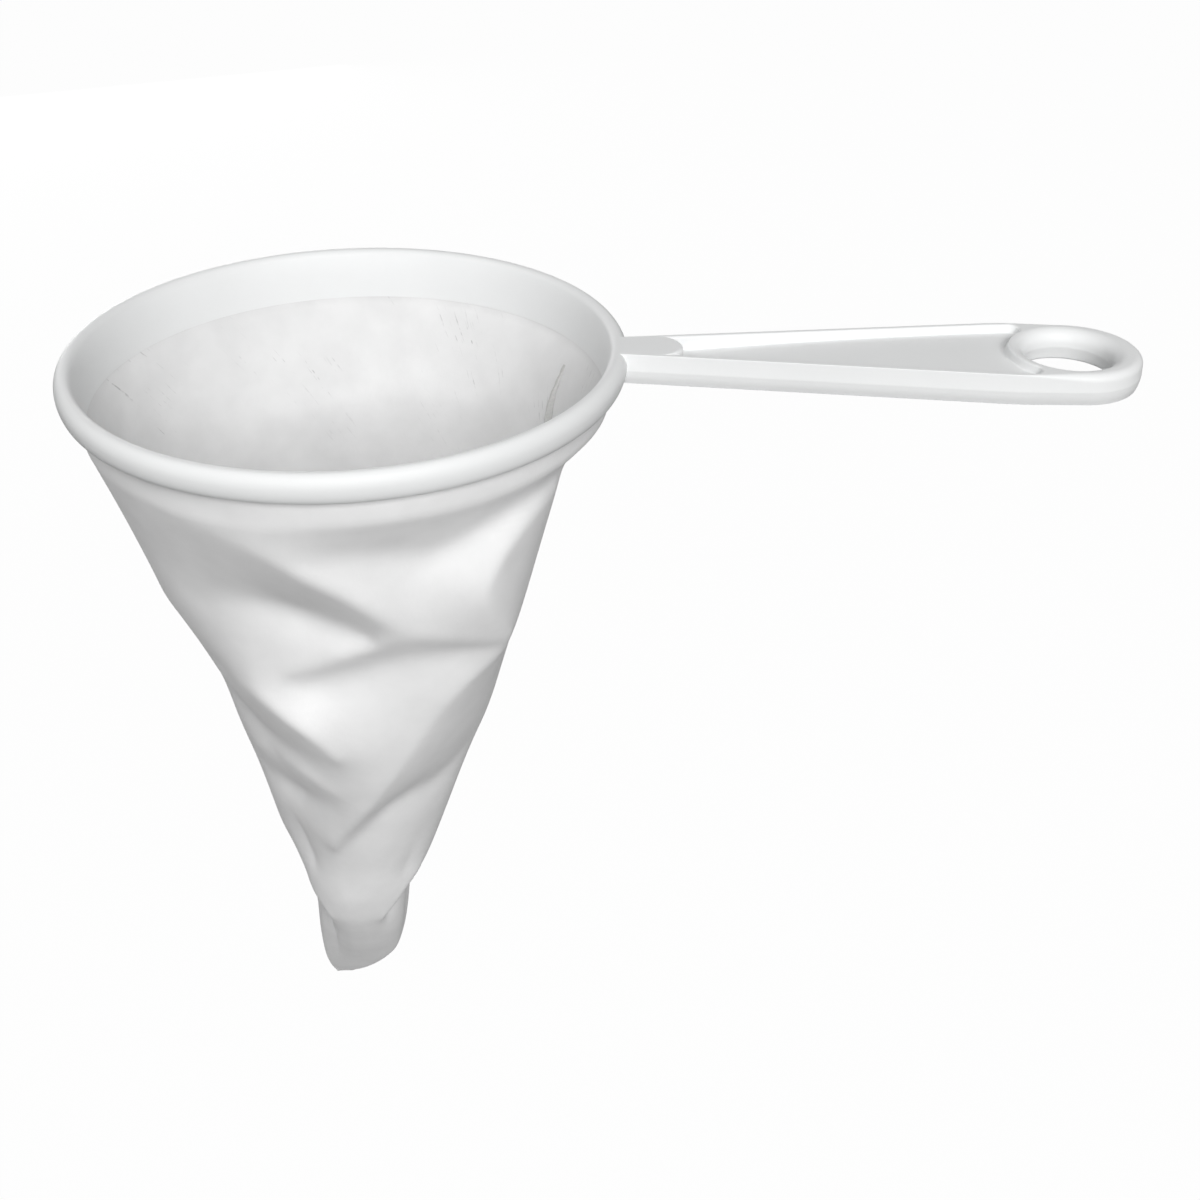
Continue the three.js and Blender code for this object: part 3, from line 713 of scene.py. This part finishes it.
def drawn(creases):
    """Creases drawn on a grid of degrees by depth: where a crease holds the cloth, and how far out."""
    held = np.zeros((MEMBRANE_COLUMNS, MEMBRANE_ROWS), bool)
    height = np.zeros(held.shape)
    for crease in creases:
        turn, depth, stand_off = np.array(crease, float).T
        knots = np.arange(len(crease))
        along = np.linspace(0, len(crease) - 1, CREASE_STEPS)
        column = np.round(np.interp(along, knots, turn) * MEMBRANE_COLUMNS / 360).astype(int)
        column %= MEMBRANE_COLUMNS
        row = np.round(np.interp(along, knots, depth) * (MEMBRANE_ROWS - 1) / BAG_DEPTH).astype(int)
        held[column, row] = True
        height[column, row] = np.interp(along, knots, stand_off)
    return held, height


def softened(field, width):
    """The field averaged with its neighbours by a bell curve of that width in cells. It closes on itself
    round the bag and ends at the mouth and the tip."""
    reach = int(3 * width) + 1
    bell = np.exp(-0.5 * (np.arange(-reach, reach + 1) / width) ** 2)
    bell /= bell.sum()
    field = sum(w * np.roll(field, k - reach, 0) for k, w in enumerate(bell))
    padded = np.pad(field, ((0, 0), (reach, reach)), mode="edge")
    return sum(w * padded[:, k:k + field.shape[1]] for k, w in enumerate(bell))


def folded_cloth():
    """Stand-off of the cloth from the plain cone: a membrane stretched between the creases, so each cell
    between them settles at the mean of its neighbours, weighted by how near they lie. It is then softened,
    less so near a ridge than elsewhere."""
    on_ridge, _ = drawn(RIDGES)
    held, height = drawn(HOLLOWS + RIDGES)
    depth = np.linspace(0, BAG_DEPTH, MEMBRANE_ROWS)
    across = np.maximum(bag_radius(depth), LEAST_RADIUS) * 2 * np.pi / MEMBRANE_COLUMNS
    along = BAG_DEPTH / (MEMBRANE_ROWS - 1)
    beside, above = 1 / across ** 2, 1 / along ** 2
    field = height.copy()
    for _ in range(MEMBRANE_ROUNDS):
        padded = np.pad(field, ((0, 0), (1, 1)), mode="edge")
        sides = np.roll(field, 1, 0) + np.roll(field, -1, 0)
        ends = padded[:, 2:] + padded[:, :-2]
        mean = (beside * sides + above * ends) / (2 * (beside + above))
        field = np.where(held, height, mean)
        field[:, depth <= CLOTH_FREE] = 0
        field[:, -STILL_ROWS:] = 0
    crisp = np.clip(softened(on_ridge.astype(float), RIDGE_REACH) * BELL_AREA * RIDGE_REACH, 0, 1)
    field = crisp * softened(field, RIDGE_SOFTNESS) + (1 - crisp) * softened(field, HOLLOW_SOFTNESS)
    return field * smooth_step(depth, CLOTH_FREE, CLOTH_FREE + CLOTH_EASE)


def sampled(field, turn, depth):
    """The folded cloth's stand-off at any angle and depth, straight between the membrane's cells."""
    column = np.degrees(turn) % 360 * MEMBRANE_COLUMNS / 360
    row = np.clip(depth / BAG_DEPTH, 0, 1) * (MEMBRANE_ROWS - 1)
    left, top = np.floor(column).astype(int), np.minimum(np.floor(row).astype(int), MEMBRANE_ROWS - 2)
    right, share_right, share_below = (left + 1) % MEMBRANE_COLUMNS, column - left, row - top
    left = left % MEMBRANE_COLUMNS
    upper = field[left, top] * (1 - share_right) + field[right, top] * share_right
    lower = field[left, top + 1] * (1 - share_right) + field[right, top + 1] * share_right
    return upper * (1 - share_below) + lower * share_below


def filter_bag(field):
    """The folded cloth as a grid of angle by depth, thickened inwards to the flannel's thickness. The
    attribute cloth holds each point's place on the flat panel, which starts and ends on the handle's
    side."""
    turn, depth = np.meshgrid(
        np.linspace(np.pi / 2, 5 * np.pi / 2, BAG_COLUMNS, endpoint=False),
        np.linspace(-BAG_MOUTH, BAG_DEPTH - TIP_CLOSURE, BAG_ROWS),
        indexing="ij",
    )
    points = bag_place(turn, depth, sampled(field, turn, depth))
    mesh = bpy.data.meshes.new("filter_bag")
    faces = grid_faces(BAG_COLUMNS, BAG_ROWS, rows_close=True)
    faces.append([column * BAG_ROWS + BAG_ROWS - 1 for column in range(BAG_COLUMNS)])
    mesh.from_pydata(points.reshape(-1, 3) * MM, [], faces)
    face_outwards(mesh)
    panel = np.stack([SKIRT_RADIUS * turn, depth, 0 * depth], -1) * MM
    mesh.attributes.new("cloth", "FLOAT_VECTOR", "POINT").data.foreach_set("vector", panel.ravel())
    bag = finish_piece(mesh, "flannel_bag", "bag", flannel, "filter_bag")
    mesh.materials.append(flannel_inside_shaded)
    mesh.set_sharp_from_angle(angle=math.pi)  # no edge of the cloth is sharp
    thickness = bag.modifiers.new("cloth_thickness", "SOLIDIFY")
    thickness.thickness = CLOTH * MM
    thickness.offset = -1
    thickness.material_offset = 1
    return bag


def seam_overlock(field):
    """A strip that stands inward from the cloth: a rounded section carried down the seam, its sides swelling
    where the thread loops over them. The seam turns towards the handle on its way down."""
    depth, angle = np.meshgrid(
        np.linspace(SEAM_TOP, BAG_DEPTH - POUCH_HEIGHT, SEAM_ROWS),
        np.linspace(0, 2 * np.pi, SEAM_COLUMNS, endpoint=False),
        indexing="ij",
    )
    past_handle = 1 - smooth_step(depth, SEAM_TOP, SEAM_TURNED)
    turn = np.radians(SEAM_FOOT_TURN + (SEAM_TOP_TURN - SEAM_FOOT_TURN) * past_handle)
    root = bag_place(turn, depth, sampled(field, turn, depth) - CLOTH)
    inward = np.stack([-np.sin(turn), np.cos(turn), 0 * turn], -1)
    beside = np.stack([np.cos(turn), np.sin(turn), 0 * turn], -1)
    start, full = SEAM_RUN_IN
    width = SEAM_WIDTH * smooth_step(depth, SEAM_TOP + start, SEAM_TOP + full)
    loops = 1 + LOOP_SWELL * np.sin(2 * np.pi * depth / STITCH + LOOP_SLANT * np.cos(angle))
    out = width * (1 + signed_root(np.cos(angle))) / 2
    aside = SEAM_THICKNESS / 2 * loops * signed_root(np.sin(angle))
    points = root + out[..., None] * inward + aside[..., None] * beside
    ends = [filled(points[0]), filled(points[-1])]
    return [(points, grid_faces(SEAM_ROWS, SEAM_COLUMNS, columns_close=True)), *ends]


field = folded_cloth()
bag = filter_bag(field)
new_piece("overlocked_seam", seam_overlock(field), "bag", thread, "seam_overlock")


# Camera, light and floor

CAMERA_AZIMUTH = math.radians(0.45)
CAMERA_ELEVATION = math.radians(33.07)
CAMERA_ROLL = math.radians(0.23)
CAMERA_DISTANCE = 312.4
CAMERA_TARGET = Vector((47.9, 0, -51.55))
LENS = 45.0
SENSOR = 36.0
NEAR_CLIP = 10.0
LIT_POINT = (20, 0, -50)
GREY_FILL = 0.145  # strength of the world on the object, where 1 is white
FLOOR_LEVEL = -260.0
FLOOR_REACH = 6000.0
FLOOR_WHITENESS = 0.95  # share of plain white in what the camera sees of the floor


def view_axes():
    """Forward, right and up of the photograph's camera."""
    level, drop = math.cos(CAMERA_ELEVATION), math.sin(CAMERA_ELEVATION)
    forward = Vector((-math.sin(CAMERA_AZIMUTH) * level, math.cos(CAMERA_AZIMUTH) * level, -drop))
    right = forward.cross(Vector((0, 0, 1))).normalized()
    up = right.cross(forward)
    cosine, sine = math.cos(CAMERA_ROLL), math.sin(CAMERA_ROLL)
    return forward, cosine * right + sine * up, cosine * up - sine * right


def add_camera():
    """The camera of the photograph, found from the hoop's ellipse and the handle's edges."""
    forward, right, up = view_axes()
    data = bpy.data.cameras.new("photo_camera")
    data.sensor_width = SENSOR
    data.lens = LENS
    data.clip_start = NEAR_CLIP * MM
    camera = bpy.data.objects.new("photo_camera", data)
    turn = Matrix((right, up, -forward)).transposed().to_4x4()
    camera.matrix_world = Matrix.Translation((CAMERA_TARGET - CAMERA_DISTANCE * forward) * MM) @ turn
    bpy.context.scene.collection.objects.link(camera)
    bpy.context.scene.camera = camera


def add_lamp(name, place, target, width, height, power):
    """A soft box that points from its place to a target, in millimetres and watts."""
    data = bpy.data.lights.new(name, "AREA")
    data.shape = "RECTANGLE"
    data.size = width * MM
    data.size_y = height * MM
    data.energy = power
    lamp = bpy.data.objects.new(name, data)
    lamp.location = Vector(place) * MM
    lamp.rotation_euler = (Vector(target) - Vector(place)).to_track_quat("-Z", "Y").to_euler()
    bpy.context.scene.collection.objects.link(lamp)


def add_world():
    """A pale studio: white to the camera and in reflections, a soft grey fill on the object."""
    world = bpy.data.worlds.new("studio")
    world.use_nodes = True
    tree = world.node_tree
    tree.nodes.clear()
    rays = add_node(tree, "ShaderNodeLightPath").outputs
    seen = rays["Is Camera Ray"]
    for ray in ("Is Glossy Ray", "Is Transmission Ray"):
        seen = add_node(tree, "ShaderNodeMath", {"operation": "MAXIMUM"}, seen, rays[ray]).outputs[0]
    strength = add_node(tree, "ShaderNodeMapRange", {"To Min": GREY_FILL, "To Max": 1.0}, Value=seen)
    background = add_node(
        tree, "ShaderNodeBackground", {"Color": linear("ffffff")}, Strength=strength.outputs["Result"],
    )
    output = tree.nodes.new("ShaderNodeOutputWorld")
    tree.links.new(background.outputs["Background"], output.inputs["Surface"])
    bpy.context.scene.world = world


def add_floor():
    """A pale floor below the bag's tip, shown to the camera as almost white with the object's soft shadow
    left in it."""
    material, tree, output = new_material("white_floor")
    rays = add_node(tree, "ShaderNodeLightPath").outputs
    paint = add_node(tree, "ShaderNodeBsdfDiffuse", {"Color": linear("8c8c8c")})
    glow = add_node(tree, "ShaderNodeEmission", {"Color": linear("ffffff"), "Strength": 1.03})
    share = add_node(
        tree, "ShaderNodeMapRange", {"To Max": FLOOR_WHITENESS}, Value=rays["Is Camera Ray"],
    ).outputs["Result"]
    mix = add_node(
        tree, "ShaderNodeMixShader", None, share, paint.outputs["BSDF"], glow.outputs["Emission"],
    )
    tree.links.new(mix.outputs["Shader"], output.inputs["Surface"])
    mesh = bpy.data.meshes.new("floor")
    reach, level = FLOOR_REACH * MM, FLOOR_LEVEL * MM
    corners = [(x * reach, y * reach, level) for x, y in ((-1, -1), (1, -1), (1, 1), (-1, 1))]
    mesh.from_pydata(corners, [], [(0, 1, 2, 3)])
    mesh.materials.append(material)
    floor = bpy.data.objects.new("floor", mesh)
    bpy.context.scene.collection.objects.link(floor)


add_camera()
add_lamp("key_over_camera", (320, -1120, 680), LIT_POINT, 1000, 600, 16.8)
add_lamp("fill_left", (-910, -250, 880), LIT_POINT, 450, 450, 3.0)
add_lamp("fill_behind", (-500, 1200, -60), (20, 0, -60), 600, 600, 7)
# stands for the light that the lit front of the cloth lets into the bag
add_lamp("light_through_cloth", (2, 2, -90), (42, 14, -38), 14, 14, 0.006)
add_world()
add_floor()
bpy.context.scene.view_settings.view_transform = "Standard"
